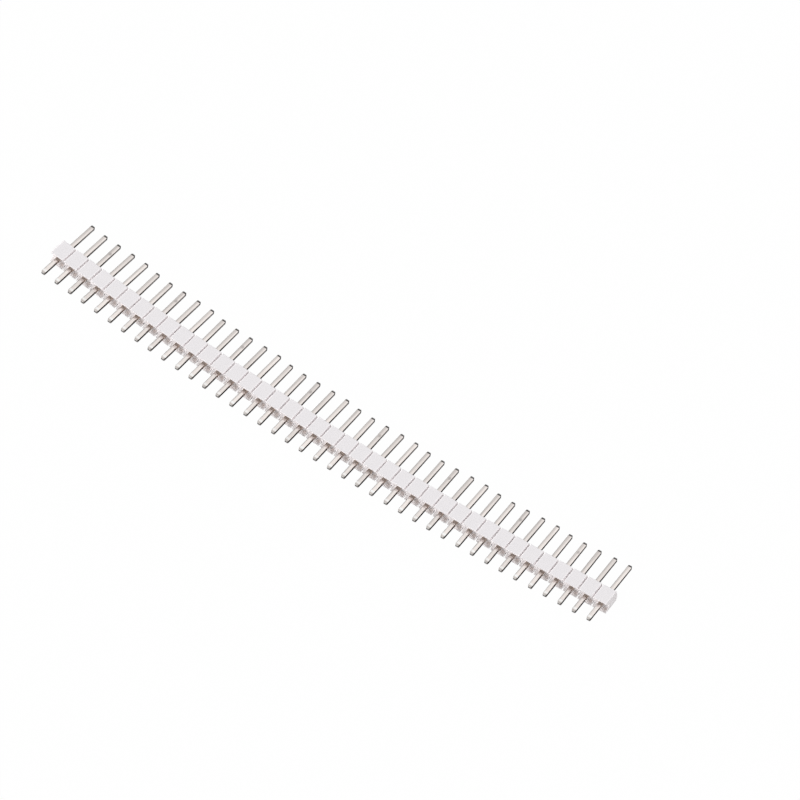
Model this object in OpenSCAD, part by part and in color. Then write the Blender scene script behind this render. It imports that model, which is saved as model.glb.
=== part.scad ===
// Snap-apart pin header strip: one row of square contacts pressed through a moulded insulator.
//
// The row runs along X and lies on a side face of the insulator, so that every contact is level.
// Mating ends point to +Y and solder tails to -Y. The origin is at the bottom centre of the box
// round the whole strip. All sizes are millimetres, all angles degrees.

/* [Row] */
// Number of contacts in the row
pin_count = 40; // [2:1:50]
// Distance from one contact to the next
pitch = 2.54; // [2.2:0.01:3.96]
// Radius of the bow that the long thin moulding has, hollow towards the mating ends
bow_radius = 610; // [300:10:3000]

/* [Insulator] */
// Thickness of the insulator, from one side face to the other
body_thick = 2.35; // [1.9:0.05:3]
// Height of the insulator along the contacts, from board side to mating face
body_high = 2.9; // [1.6:0.05:4]
// Rounding of the long outer edges
edge_round = 0.08; // [0.02:0.01:0.12]

/* [Board channel] */
// Depth of the channel along the board side
channel_deep = 0.6; // [0.2:0.05:1]
// Width of the channel at its floor
channel_floor = 0.9; // [0.7:0.05:1]
// Width of the lip that is left on each side of its mouth
lip_wide = 0.17; // [0.16:0.01:0.4]
// Rounding of the edges of the mouth
lip_round = 0.05; // [0.01:0.01:0.06]

/* [Snap notches] */
// Width of a notch at the side face
notch_wide = 0.24; // [0.2:0.02:0.6]
// Depth of a notch below the side face
notch_deep = 0.72; // [0.3:0.02:0.8]
// Width of the flat at the bottom of a notch
notch_root = 0.12; // [0.02:0.02:0.16]
// Rounding of the two edges of a notch
notch_round = 0.06; // [0.02:0.01:0.15]

/* [Contacts] */
// Width and thickness of the square wire
pin_size = 0.64; // [0.5:0.01:0.8]
// Length that each small corner flat takes off a side of the wire
pin_edge = 0.05; // [0.02:0.01:0.1]
// Room between a contact and its hole on each side, where 0 is the press fit
pin_fit = 0; // [0:0.005:0.02]
// Length of the mating end beyond the insulator
mating_len = 5.55; // [3:0.05:16]
// Length of the solder tail beyond the insulator
tail_len = 3.1; // [2:0.05:6]
// Length of the rounded nose at the mating end
mating_nose = 0.38; // [0.1:0.02:1]
// Width of the flat at the mating end
mating_flat = 0.28; // [0.1:0.02:0.44]
// Length of the rounded nose at the solder tail
tail_nose = 0.34; // [0.1:0.02:1]
// Width of the flat at the solder tail
tail_flat = 0.32; // [0.1:0.02:0.44]

/* [Scatter] */
// Largest lean of a contact in the plane of the row
lean_most = 0.5; // [0:0.1:1]
// Largest difference of a mating end from its full length
cut_most = 0.15; // [0:0.05:0.3]

/* [Hidden] */
function pin_name(i) = str("pin_", i < 9 ? "0" : "", i + 1);

// The contacts go in five at a time, so lean and length repeat every five along the row.
// Each value is a share of the largest, and a positive lean takes the mating end towards +X.
LEAN_OF_FIVE = [-0.7, -0.6, -0.7, 0.9, 1];
CUT_OF_FIVE = [-0.7, -0.9, -0.3, 0.7, 1];
function lean(i) = lean_most * LEAN_OF_FIVE[i % 5];
function cut(i) = cut_most * CUT_OF_FIVE[i % 5];

round_steps = 3;    // facets in each rounding
over = 1;           // how far a cutting shape runs past what it cuts
pin_mid = body_thick / 2;
board_y = -body_high / 2;
mating_y = body_high / 2;

// Angles on the bow, 0 at the middle of the row
pitch_angle = pitch / bow_radius * 180 / PI;
function pin_angle(i) = (i - (pin_count - 1) / 2) * pitch_angle;
function notch_angle(i) = (i - pin_count / 2) * pitch_angle;

// The strip's box along Y, which puts the origin at its centre: the tails in the middle of the row
// reach furthest to -Y, and a mating end near the end of the row reaches furthest to +Y
function mating_tip(i) = mating_y + mating_len + cut(i);
tail_tip = board_y - tail_len;
function tip_y(i, end_y, flat_wide) = bow_radius - (bow_radius - end_y) * cos(pin_angle(i))
    + sign(end_y) * flat_wide / 2 * abs(sin(pin_angle(i)));
front_y = min([for (i = [0 : pin_count - 1]) tip_y(i, tail_tip, tail_flat)]);
back_y = max([for (i = [0 : pin_count - 1]) tip_y(i, mating_tip(i), mating_flat)]);

function unit(v) = v / norm(v);

// Points of the arc of radius r that rounds corner b of the path from a over b to c
function round_corner(a, b, c, r) =
    let (
        u = unit(a - b),
        v = unit(c - b),
        half = acos(u * v) / 2,
        centre = b + unit(u + v) * r / sin(half),
        from = b + u * r / tan(half) - centre,
        to = b + v * r / tan(half) - centre
    )
    [for (k = [0 : round_steps]) centre + r * unit(from + (to - from) * k / round_steps)];

// A closed path with a radius of its own at each corner
function round_path(path, radii) =
    let (n = len(path))
    [for (k = [0 : n - 1])
        each round_corner(path[(k + n - 1) % n], path[k], path[(k + 1) % n], radii[k])];

// The same path on the other side of the Y axis, run backwards so that it can follow on
function mirrored(path) = [for (k = [len(path) - 1 : -1 : 0]) [-path[k].x, path[k].y]];

// Points of a contact's nose, from the shoulder on one side to the flat at end_y
function nose(end_y, nose_len, flat_wide) =
    [for (k = [0 : round_steps])
        let (angle = 90 * k / round_steps)
        [flat_wide / 2 + (pin_size - flat_wide) / 2 * cos(angle),
            end_y - sign(end_y) * nose_len * (1 - sin(angle))]];

// Carries what is modelled at the middle of the row to its angle on the bow
module on_bow(angle) {
    translate([0, bow_radius]) rotate(angle) translate([0, -bow_radius]) children();
}

// Carries what is modelled along Y about the origin to the place of contact i
module at_pin(i) {
    on_bow(pin_angle(i)) translate([0, 0, pin_mid]) rotate(-lean(i)) children();
}

// Stands a shape drawn in X and Z on Y, as far to one side of it as to the other
module along_y(length) {
    rotate([90, 0, 0]) linear_extrude(length, center = true) children();
}

// Cross section of the insulator, with Y drawn along x and Z along y
module body_section() {
    floor_y = board_y + channel_deep;
    mouth = body_thick - 2 * lip_wide;
    path = [
        [mating_y, 0],
        [mating_y, body_thick],
        [board_y, body_thick],
        [board_y, pin_mid + mouth / 2],
        [floor_y, pin_mid + channel_floor / 2],
        [floor_y, pin_mid - channel_floor / 2],
        [board_y, pin_mid - mouth / 2],
        [board_y, 0]
    ];
    outer = edge_round;
    inner = lip_round;
    polygon(round_path(path, [outer, outer, outer, inner, inner, inner, inner, outer]));
}

// The notch through the lower side face, and its mirror image through the upper one
module notch_section() {
    left = round_corner([-notch_wide, 0], [-notch_wide / 2, 0], [-notch_root / 2, notch_deep],
        notch_round);
    half_path = concat([[left[0].x, -over]], left, [[-notch_root / 2, notch_deep]]);
    path = concat(half_path, mirrored(half_path));
    polygon(path);
    translate([0, body_thick]) mirror([0, 1]) polygon(path);
}

// Turned square that takes the corners off the square wire
module corner_cut(fit) {
    rotate(45) square((pin_size - pin_edge) * sqrt(2) + 2 * fit, center = true);
}

module pin_hole() {
    along_y(body_high + 2 * over) intersection() {
        square(pin_size + 2 * pin_fit, center = true);
        corner_cut(pin_fit);
    }
}

// Outline of a contact from one side, the same from above as from the side
module pin_outline(i) {
    mating = nose(mating_tip(i), mating_nose, mating_flat);
    tail = [for (point = nose(tail_tip, tail_nose, tail_flat)) [-point.x, point.y]];
    polygon(concat(mating, mirrored(mating), tail, mirrored(tail)));
}

module housing() {
    color("white")
        translate([0, -(front_y + back_y) / 2])
            difference() {
                translate([0, bow_radius])
                    rotate(notch_angle(0) - 90)
                        rotate_extrude(angle = pin_count * pitch_angle, $fn = 360 / pitch_angle)
                            translate([bow_radius, 0]) mirror([1, 0]) body_section();
                for (i = [0 : pin_count])
                    on_bow(notch_angle(i)) along_y(body_high + 2 * over) notch_section();
                for (i = [0 : pin_count - 1])
                    at_pin(i) pin_hole();
            }
}

module pin(i) {
    color("silver")
        translate([0, -(front_y + back_y) / 2])
            at_pin(i)
                intersection() {
                    linear_extrude(2 * pin_size, center = true) pin_outline(i);
                    rotate([0, 90, 0]) linear_extrude(2 * pin_size, center = true) pin_outline(i);
                    along_y(3 * (body_high + mating_len + tail_len)) corner_cut(0);
                }
}

housing();
for (i = [0 : pin_count - 1])
    pin(i);
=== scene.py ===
# Pin header strip: one row of square tin-plated contacts pressed through a white moulded insulator.
# The strip lies on a side face of the insulator, mating ends to +Y and solder tails to -Y.

import math

import bpy
from mathutils import Matrix, Vector


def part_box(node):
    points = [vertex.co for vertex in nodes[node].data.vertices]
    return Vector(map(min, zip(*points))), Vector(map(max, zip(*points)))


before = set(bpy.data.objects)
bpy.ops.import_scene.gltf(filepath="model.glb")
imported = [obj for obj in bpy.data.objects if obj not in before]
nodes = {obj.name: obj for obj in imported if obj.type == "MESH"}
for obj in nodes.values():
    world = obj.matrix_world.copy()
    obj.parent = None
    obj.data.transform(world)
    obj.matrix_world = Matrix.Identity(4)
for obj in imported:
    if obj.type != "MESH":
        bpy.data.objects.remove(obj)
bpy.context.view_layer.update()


# ---------------------------------------------------------------------------------------------
# Insulator: white nylon moulded in one shot, with a snap notch between the positions. The long thin
# bar bows a little as it cools, so that the contacts stand square to an arc. Its colour holds painted
# light and shade: the channel of the board side, its corners and the lip are painted darker, the
# notches and their shoulders lighter, and a painted shadow lies in the channel to the right of each
# contact.

MM = 0.001
pitch = 2.54 * MM
bow_radius = 610 * MM
body_high = 2.9 * MM
body_low, body_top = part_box("housing")
body_thick = body_top.z - body_low.z
# The bow is hollow towards the mating ends, so the middle of the row lies furthest to -Y.
row_mid = body_low.y + body_high / 2
pin_names = sorted(name for name in nodes if name.startswith("pin_"))
pin_count = len(pin_names)

plastic_white = (0.79, 0.765, 0.78, 1)
# Painted shade: the channel of the board side is painted darker and warmer.
painted_channel_shade = (0.75, 0.705, 0.705, 1)
# Painted light: the notches and the shoulders beside them are painted whiter.
painted_notch_light = (0.95, 0.91, 0.92, 1)
# Painted shade on the lip at the board face.
painted_lip_shade = (0.62, 0.585, 0.59, 1)
notch_shade = (0.49, 0.465, 0.465, 1)
# Painted shadow of each contact, dark and warm, in the channel to its right.
painted_pin_shadow = (0.54, 0.445, 0.41, 1)

# Places on the insulator are in millimetres from its middle: along the wire to the board face,
# through the thickness to a side face, and across a position to the notch at half the pitch.
board_face = -body_high / 2 / MM
side_face = body_thick / 2 / MM
notch_mid = pitch / 2 / MM
# Each shade fades over a span, first along the wire.
channel_floor = (board_face + 0.5, board_face + 0.7)
lip_slope = (board_face + 0.03, board_face + 0.4)
lip_crest = (board_face + 0.02, board_face + 0.08)
# These run out to either side face, where the channel's wall ends and the skin outside it starts.
channel_wall = (side_face - 0.175, side_face - 0.055)
side_skin = (side_face - 0.095, side_face - 0.035)
# These run out to the notch on either side of a contact.
corner_span = (notch_mid - 0.72, notch_mid - 0.42)
shoulder_span = (notch_mid - 0.42, notch_mid - 0.21)
notch_span = (notch_mid - 0.21, notch_mid - 0.13)
notch_widening = 0.03
# The painted shadow of each contact fades from its middle, and to the left and the right of it.
pin_shadow_along = board_face + 0.4
pin_shadow_from_mid = 0.62
pin_shadow_span = (0.05, 0.52)
pin_shadow_left = (0.28, 0.68)
pin_shadow_right = (0.9, 1.25)

corner_strength = 0.6
shoulder_strength = 0.35
pin_shadow_strength = 0.62
pin_shadow_dulling = 0.25
# How many patches of mottle and grains of the mould's face there are to a metre.
mottle_scale = 900
mottle_span = (0.3, 0.7)
mottle_tone = (0.985, 1.0)
mottle_roughness = (0.48, 0.42)
grain_scale = 9000
grain_high = 0.003 * MM


def add_node(tree, kind, settings=None, **values):
    """A shader node with its settings, and its inputs set to numbers or linked to sockets.

    An input goes by its name, with _ for a space, or by i and its number, such as i0.
    """
    node = tree.nodes.new(f"ShaderNode{kind}")
    for key, value in (settings or {}).items():
        setattr(node, key, value)
    for key, value in values.items():
        by_number = key[1:].isdigit()
        socket = node.inputs[int(key[1:]) if by_number else key.replace("_", " ")]
        if isinstance(value, bpy.types.NodeSocket):
            tree.links.new(value, socket)
        else:
            socket.default_value = value
    return node


def maths(tree, operation, *values):
    """One step of arithmetic on numbers or sockets."""
    inputs = {f"i{k}": value for k, value in enumerate(values)}
    return add_node(tree, "Math", {"operation": operation}, **inputs).outputs[0]


def product(tree, first, *others):
    """Numbers or sockets multiplied together."""
    for other in others:
        first = maths(tree, "MULTIPLY", first, other)
    return first


def place_in_row():
    """A node group that says where a point is on the bowed row.

    Number counts the contacts from 0. The others are in millimetres: Across from the middle of the
    position, Along the wire from the middle of the insulator, and Height above the table.
    """
    group = bpy.data.node_groups.new("place in row", "ShaderNodeTree")
    point = add_node(group, "TexCoord").outputs["Object"]
    x, y, z = add_node(group, "SeparateXYZ", Vector=point).outputs
    inward = maths(group, "SUBTRACT", row_mid + bow_radius, y)
    squares = maths(group, "ADD", product(group, x, x), product(group, inward, inward))
    along = maths(group, "SUBTRACT", bow_radius, maths(group, "SQRT", squares))
    turn = maths(group, "ARCTAN2", x, inward)
    station = maths(group, "MULTIPLY_ADD", turn, bow_radius / pitch, pin_count / 2)
    number = maths(group, "FLOOR", station)
    across = maths(group, "SUBTRACT", maths(group, "SUBTRACT", station, number), 0.5)
    places = {"Number": number, "Across": product(group, across, pitch / MM),
              "Along": product(group, along, 1 / MM), "Height": product(group, z, 1 / MM)}
    for label in places:
        group.interface.new_socket(label, in_out="OUTPUT", socket_type="NodeSocketFloat")
    result = group.nodes.new("NodeGroupOutput")
    for label, place in places.items():
        group.links.new(place, result.inputs[label])
    return group


row_place = place_in_row()


def rise(tree, value, span, levels=(0.0, 1.0)):
    """A smooth step from one level to another, as a value crosses a span."""
    step = add_node(tree, "MapRange", {"interpolation_type": "SMOOTHSTEP"}, Value=value,
                    From_Min=span[0], From_Max=span[1], To_Min=levels[0], To_Max=levels[1])
    return step.outputs[0]


def fall(tree, value, span):
    """A smooth step down from 1 to 0, as a value crosses a span."""
    return rise(tree, value, span, (1.0, 0.0))


def distance(tree, one, other):
    """How far two numbers at right angles are from nought together."""
    squares = maths(tree, "MULTIPLY_ADD", one, one, product(tree, other, other))
    return maths(tree, "SQRT", squares)


def mixed(tree, factor, first, second):
    """A colour between two others."""
    return add_node(tree, "Mix", {"data_type": "RGBA"}, i0=factor, i6=first, i7=second).outputs[2]


def scaled(tree, colour, factor):
    """A colour made lighter or darker by a number."""
    return add_node(tree, "VectorMath", {"operation": "SCALE"}, i0=colour, Scale=factor).outputs[0]


def new_material(name):
    """An empty material and its node tree."""
    material = bpy.data.materials.new(name)
    material.use_nodes = True
    material.node_tree.nodes.clear()
    return material, material.node_tree


def insulator_material():
    """White nylon, painted lighter at the notches, painted darker in the channel, its corners and on the
    lip, with a painted shadow by each contact.
    """
    material, tree = new_material("white_moulding")
    place = add_node(tree, "Group", {"node_tree": row_place}).outputs
    across, along = place["Across"], place["Along"]
    from_mid = maths(tree, "ABSOLUTE", maths(tree, "SUBTRACT", place["Height"], side_face))
    sideways = maths(tree, "ABSOLUTE", across)

    board_side = fall(tree, along, channel_floor)
    in_channel = product(tree, board_side, fall(tree, from_mid, channel_wall))
    inside = product(tree, board_side, fall(tree, from_mid, side_skin))
    on_slope = product(tree, inside, fall(tree, along, lip_slope))
    on_lip = maths(tree, "MAXIMUM", on_slope, fall(tree, along, lip_crest))
    in_corner = product(tree, rise(tree, sideways, corner_span), inside, corner_strength)
    outside = maths(tree, "SUBTRACT", 1.0, inside)
    # Painted light on the shoulders beside the notches and in the notches themselves.
    on_shoulder = product(tree, rise(tree, sideways, shoulder_span), outside, shoulder_strength)
    widened = maths(tree, "MULTIPLY_ADD", inside, -notch_widening, sideways)
    at_notch = rise(tree, widened, notch_span)
    # The painted shadow that each contact throws into the channel, to its right.
    from_pin_shadow = distance(tree, maths(tree, "SUBTRACT", along, pin_shadow_along),
                          maths(tree, "SUBTRACT", from_mid, pin_shadow_from_mid))
    pin_shadow = product(tree, fall(tree, from_pin_shadow, pin_shadow_span), rise(tree, across, pin_shadow_left),
                    fall(tree, across, pin_shadow_right), pin_shadow_strength)

    point = add_node(tree, "TexCoord").outputs["Object"]
    mottle = add_node(tree, "TexNoise", Vector=point, Scale=mottle_scale, Detail=3, Roughness=0.5)
    mottle = mottle.outputs[0]
    # Painted light and shade over the plastic's own white: darker on the lip, in the channel and its
    # corners, lighter at the notches, and the painted shadows.
    colour = mixed(tree, on_lip, plastic_white, painted_lip_shade)
    colour = mixed(tree, in_channel, colour, painted_channel_shade)
    colour = mixed(tree, in_corner, colour, notch_shade)
    colour = mixed(tree, on_shoulder, colour, painted_notch_light)
    colour = mixed(tree, at_notch, colour, painted_notch_light)
    colour = mixed(tree, pin_shadow, colour, painted_pin_shadow)
    colour = scaled(tree, colour, rise(tree, mottle, mottle_span, mottle_tone))
    rough = rise(tree, mottle, mottle_span, mottle_roughness)
    rough = maths(tree, "MULTIPLY_ADD", pin_shadow, pin_shadow_dulling, rough)

    grain = add_node(tree, "TexNoise", Vector=point, Scale=grain_scale, Detail=3, Roughness=0.6)
    bump = add_node(tree, "Bump", Strength=0.1, Distance=grain_high, Height=grain.outputs[0])
    shader = add_node(tree, "BsdfPrincipled", Base_Color=colour, Roughness=rough,
                      Normal=bump.outputs[0])
    add_node(tree, "OutputMaterial", Surface=shader.outputs[0])
    return material


def finish_with(material, piece):
    """Gives a piece its material."""
    piece.data.materials.clear()
    piece.data.materials.append(material)


finish_with(insulator_material(), nodes["housing"])


# ---------------------------------------------------------------------------------------------
# Contacts: square wire drawn bright, plated with tin, cut and coined to a rounded nose at both
# ends, and pressed five at a time through the insulator. The press rubs the third of each five
# halfway up its mating end. The rest of the shading is painted: the top holds lit and shaded
# copies of the tin and a painted glint, the sides, the noses and the ends are painted darker, and
# where the wire leaves the channel it is painted brown, a painted reflection of the shaded channel.

tin_bright = (0.92, 0.856, 0.82, 1)
tin_shade = (0.66, 0.615, 0.59, 1)
tin_glint = (1.0, 0.98, 0.96, 1)
# Painted shade: the side faces are painted darker than the top, darkest on the tails.
tail_side_shade = (0.20, 0.19, 0.182, 1)
mating_side_shade = (0.49, 0.465, 0.453, 1)
# Painted shade on the noses and the ends: a dark ring on the mating nose, a lighter grey at its tip.
nose_shade = (0.11, 0.106, 0.103, 1)
tail_end_shade = (0.26, 0.25, 0.24, 1)
tip_shade = (0.45, 0.43, 0.42, 1)
# Painted reflection of the shaded channel: dark brown on the tops and sides where the wire leaves it.
channel_reflection_top = (0.43, 0.375, 0.335, 1)
channel_reflection_side = (0.70, 0.57, 0.49, 1)
rub_grey = (0.58, 0.54, 0.52, 1)

# Lightness of each contact of a five, and how much longer than the full length it is cut.
tone_of_five = [1.0, 1.02, 0.96, 0.95, 1.05]
cut_of_five = [-0.105, -0.135, -0.045, 0.105, 0.15]
in_a_five = len(tone_of_five)

# A face is a side or an end by its normal. These are spans of its X and Y, and of -Y for the tail.
right_facing = (0.75, 0.9)
left_facing = (-0.7, -0.5)
mating_facing = (0.3, 0.5)
tail_facing = (0.3, 0.6)

# Places along the wire in millimetres, with mating_tip as on a contact of full length.
mating_tip = -board_face + 5.55
tail_tip = board_face - 3.1
nose_start = mating_tip - 0.35
nose_blend = (0.0, 0.1)
side_lightening = (-board_face + 0.05, mating_tip)
in_insulator = (0.5, 1.0)
brown_top_start = (board_face - 0.19, board_face - 0.01)
brown_side_start = (board_face - 0.95, board_face + 0.45)
glint_along = tail_tip + 0.49
glint_span = (0.08, 0.28)
# Painted shade on the tail's nose, where it rounds off past the glint.
tail_nose_span = (tail_tip + 0.25, tail_tip + 0.35)
tail_nose_strength = 0.8

# The crown is the light line along the top, a painted highlight with painted shade to its left. It lies a
# little further right towards the tip.
crown_span = (-0.25, 0.12)
crown_slant = 0.025
crown_left = 0.04

# The rub mark is on the third of each five, but the last one is one contact early.
third_of_five = 2
regular_count = 36
rub_along = mating_tip - 2.3
rub_narrowing = 1.3
rub_span = (0.15, 0.42)

# Streaks from drawing the wire, fine across it and long along it, and different on each contact.
streak_across = 5.0
streak_along = 0.22
streak_step = 3.7
streak_span = (0.3, 0.7)
streak_tone = (0.93, 1.05)
streak_roughness = (0.25, 0.19)
brown_dulling = 0.14
brown_cover = 0.6
# Finer lines from the die: how many to a metre along X, Y and Z.
die_lines = (30000, 600, 30000)
die_line_high = 0.002 * MM


def tone_and_cut(tree, number):
    """The tone and the cut of a contact by its number, from the red and green of a colour ramp.

    A ramp's colours lie from 0 to 1, so it holds a share of the tone, and the cut raised by a half.
    """
    tone_room = 2.0
    cut_rise = 0.5
    of_five = maths(tree, "FLOORED_MODULO", number, in_a_five)
    middle = maths(tree, "MULTIPLY_ADD", of_five, 1 / in_a_five, 0.5 / in_a_five)
    steps = add_node(tree, "ValToRGB", Fac=middle)
    stops = steps.color_ramp
    stops.interpolation = "CONSTANT"
    while len(stops.elements) < in_a_five:
        stops.elements.new(0.5)
    for k in range(in_a_five):
        stops.elements[k].position = k / in_a_five
    for k in range(in_a_five):
        stops.elements[k].color = (tone_of_five[k] / tone_room, cut_of_five[k] + cut_rise, 0, 1)
    red, green, _ = add_node(tree, "SeparateColor", Color=steps.outputs[0]).outputs
    tone = product(tree, red, tone_room)
    cut = maths(tree, "SUBTRACT", green, cut_rise)
    return tone, cut


def rub_mark(tree, number, across, along):
    """A dull oval where the press touches one contact of each five."""
    early = maths(tree, "GREATER_THAN", number, regular_count - 0.5)
    of_five = maths(tree, "FLOORED_MODULO", maths(tree, "ADD", number, early), in_a_five)
    is_third = maths(tree, "COMPARE", of_five, third_of_five, 0.5)
    from_rub = distance(tree, product(tree, across, rub_narrowing),
                        maths(tree, "SUBTRACT", along, rub_along))
    return product(tree, fall(tree, from_rub, rub_span), is_third)


def contact_material():
    """Tin plate: painted light on top, painted shade at the sides, the noses and the ends, and painted
    brown where it mirrors the shaded channel.

    The black edge tint holds back the gleam that metal has at a glancing angle, so that the sides
    stay darker than the top.
    """
    material, tree = new_material("tin_plate")
    place = add_node(tree, "Group", {"node_tree": row_place}).outputs
    number, across, along = place["Number"], place["Across"], place["Along"]
    normal = add_node(tree, "NewGeometry").outputs["True Normal"]
    to_right, to_mating, _ = add_node(tree, "SeparateXYZ", Vector=normal).outputs
    side = maths(tree, "MAXIMUM", rise(tree, to_right, right_facing), fall(tree, to_right, left_facing))
    mating_end = rise(tree, to_mating, mating_facing)
    tail_end = rise(tree, product(tree, to_mating, -1.0), tail_facing)

    tone, cut = tone_and_cut(tree, number)
    before_nose = maths(tree, "SUBTRACT", maths(tree, "ADD", cut, nose_start), along)
    mating_nose = fall(tree, before_nose, nose_blend)
    streak_place = add_node(tree, "CombineXYZ", X=product(tree, across, streak_across),
                            Y=product(tree, along, streak_along), Z=product(tree, number, streak_step))
    streaks = add_node(tree, "TexNoise", Vector=streak_place.outputs[0], Scale=1, Detail=2, Roughness=0.6)
    streaks = streaks.outputs[0]
    tone = product(tree, tone, rise(tree, streaks, streak_span, streak_tone))

    crown_middle = maths(tree, "MULTIPLY_ADD", along, crown_slant, -crown_left)
    crown = rise(tree, maths(tree, "SUBTRACT", across, crown_middle), crown_span)
    from_glint = maths(tree, "ABSOLUTE", maths(tree, "SUBTRACT", along, glint_along))
    glint = fall(tree, from_glint, glint_span)
    # Painted shade on the tail's nose.
    tail_nose_shade = product(tree, fall(tree, along, tail_nose_span), tail_nose_strength)
    rub = rub_mark(tree, number, across, along)
    # Where the wire leaves the channel, its top and sides are painted brown for the shade that they
    # mirror.
    below = fall(tree, along, in_insulator)
    brown_top = product(tree, rise(tree, along, brown_top_start), below)
    brown_side = product(tree, rise(tree, along, brown_side_start), below)

    top = mixed(tree, crown, tin_shade, tin_bright)
    top = mixed(tree, glint, top, tin_glint)
    top = mixed(tree, tail_nose_shade, top, tin_shade)
    top = mixed(tree, rub, top, rub_grey)
    top = mixed(tree, brown_top, scaled(tree, top, tone), channel_reflection_top)
    # Painted shade on the side faces, lighter towards the mating tip and browner by the channel.
    flank = mixed(tree, rise(tree, along, side_lightening), tail_side_shade, mating_side_shade)
    flank = mixed(tree, brown_side, flank, channel_reflection_side)
    colour = mixed(tree, side, top, flank)
    # Painted shade: the mating nose dark, its end a lighter grey, and the tail's end dark.
    colour = mixed(tree, mating_nose, colour, nose_shade)
    colour = mixed(tree, mating_end, colour, tip_shade)
    colour = mixed(tree, tail_end, colour, tail_end_shade)

    brown_flank = product(tree, side, brown_side)
    metal = maths(tree, "MULTIPLY_ADD", brown_flank, -brown_cover, 1.0)
    dull = maths(tree, "MAXIMUM", maths(tree, "MAXIMUM", brown_top, rub), brown_flank)
    rough = rise(tree, streaks, streak_span, streak_roughness)
    rough = maths(tree, "MULTIPLY_ADD", dull, brown_dulling, rough)

    point = add_node(tree, "TexCoord").outputs["Object"]
    drawn = add_node(tree, "Mapping", Vector=point, Scale=die_lines)
    lines = add_node(tree, "TexNoise", Vector=drawn.outputs[0], Scale=1, Detail=2)
    bump = add_node(tree, "Bump", Strength=0.2, Distance=die_line_high, Height=lines.outputs[0])
    shader = add_node(tree, "BsdfPrincipled", Base_Color=colour, Metallic=metal, Roughness=rough,
                      Specular_Tint=(0, 0, 0, 1), Normal=bump.outputs[0])
    add_node(tree, "OutputMaterial", Surface=shader.outputs[0])
    return material


tin_plate = contact_material()
for name in pin_names:
    finish_with(tin_plate, nodes[name])


# ---------------------------------------------------------------------------------------------
# Studio: a white table top in wide soft light from above, with a key light from the left and front
# and a weak fill from the right. The table and all that is below it look plain white to the camera
# and in the contacts, so that the strip is seen against white from every side.

floor_reach = 3.0
floor_drop = 0.01 * MM
floor_grey = (0.75, 0.75, 0.75, 1)
floor_glow = 0.985

# The sky grows with height, the fill with how far right a direction points, and the key light with
# how near to its own direction. The contacts mirror a sky that is at least sky_mirrored bright.
sky_span = (0.3, 0.8)
sky_strength = (0.2, 0.9)
sky_mirrored = 0.7
key_direction = Vector((-0.6, -0.75, 0.2)).normalized()
key_span = (0.7, 0.95)
key_strength = 3.6
fill_span = (0.4, 0.95)
fill_strength = 0.5
left_to_right = (1.1, 0.9)

view_distance = 0.6
view_clip = (0.01, 10)


def mirrored_rays(tree, rays):
    """1 for rays that come from a glossy or clear surface, else 0."""
    return maths(tree, "MAXIMUM", rays["Is Glossy Ray"], rays["Is Transmission Ray"])


def white_floor():
    """The table top, a hair below the strip, which takes its shadow and glows for the camera."""
    mesh = bpy.data.meshes.new("floor")
    corners = [(-1, -1, 0), (1, -1, 0), (1, 1, 0), (-1, 1, 0)]
    mesh.from_pydata([Vector(corner) * floor_reach for corner in corners], [], [(0, 1, 2, 3)])
    floor = bpy.data.objects.new("floor", mesh)
    bpy.context.scene.collection.objects.link(floor)
    material, tree = new_material("white_floor")
    rays = add_node(tree, "LightPath").outputs
    seen = maths(tree, "MAXIMUM", rays["Is Camera Ray"], mirrored_rays(tree, rays))
    diffuse = add_node(tree, "BsdfDiffuse", Color=floor_grey)
    glow = add_node(tree, "Emission", Color=(1, 1, 1, 1), Strength=1.0)
    surface = add_node(tree, "MixShader", i0=product(tree, seen, floor_glow), i1=diffuse.outputs[0],
                       i2=glow.outputs[0])
    add_node(tree, "OutputMaterial", Surface=surface.outputs[0])
    mesh.materials.append(material)
    floor.location.z = -floor_drop


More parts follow.
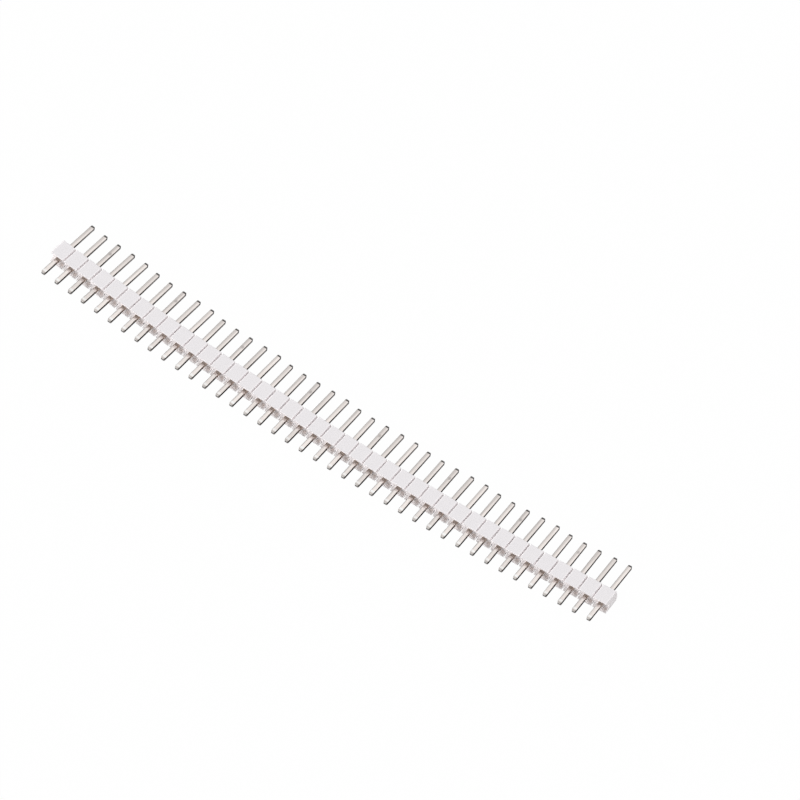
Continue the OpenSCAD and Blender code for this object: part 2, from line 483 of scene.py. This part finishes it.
def soft_world():
    """The soft light, as a world that lights from above the table and looks white below it."""
    world = bpy.data.worlds.new("soft_light")
    bpy.context.scene.world = world
    world.use_nodes = True
    tree = world.node_tree
    rays = add_node(tree, "LightPath").outputs
    mirrored = mirrored_rays(tree, rays)
    direction = add_node(tree, "TexCoord").outputs["Generated"]
    to_right, _, upward = add_node(tree, "SeparateXYZ", Vector=direction).outputs
    to_key = add_node(tree, "VectorMath", {"operation": "DOT_PRODUCT"}, i0=direction, i1=key_direction)

    sky = rise(tree, upward, sky_span, sky_strength)
    sky = maths(tree, "MAXIMUM", sky, product(tree, mirrored, sky_mirrored))
    key = rise(tree, to_key.outputs["Value"], key_span, (0.0, key_strength))
    fill = rise(tree, to_right, fill_span, (0.0, fill_strength))
    light = maths(tree, "ADD", maths(tree, "ADD", sky, key), fill)
    light = product(tree, light, rise(tree, to_right, (-1.0, 1.0), left_to_right))
    below = maths(tree, "LESS_THAN", upward, 0.0)
    seen = maths(tree, "MAXIMUM", rays["Is Camera Ray"], mirrored)
    strength = add_node(tree, "Mix", {"data_type": "FLOAT"}, i0=below, i2=light, i3=seen).outputs[0]
    background = tree.nodes["Background"]
    background.inputs["Color"].default_value = (1, 1, 1, 1)
    tree.links.new(strength, background.inputs["Strength"])


def set_camera(azimuth, elevation, roll, width, centre, left, below):
    """A camera with no perspective, which sees centre that far left of and below its middle."""
    turn, tilt = math.radians(azimuth), math.radians(elevation)
    back = Vector((math.sin(turn) * math.cos(tilt), -math.cos(turn) * math.cos(tilt), math.sin(tilt)))
    data = bpy.data.cameras.new("camera")
    data.type = "ORTHO"
    data.ortho_scale = width
    data.clip_start, data.clip_end = view_clip
    camera = bpy.data.objects.new("camera", data)
    bpy.context.scene.collection.objects.link(camera)
    level = (-back).to_track_quat("-Z", "Y").to_matrix().to_4x4()
    spin = level @ Matrix.Rotation(math.radians(roll), 4, "Z")
    aim = centre + spin @ Vector((left, below, 0))
    camera.matrix_world = Matrix.Translation(aim + back * view_distance) @ spin
    bpy.context.scene.camera = camera


white_floor()
soft_world()
set_camera(azimuth=32.6, elevation=54.04, roll=5.05, width=117.04 * MM,
           centre=Vector((0, row_mid, body_thick / 2)), left=10.894 * MM, below=5.21 * MM)
bpy.context.scene.view_settings.view_transform = "Standard"
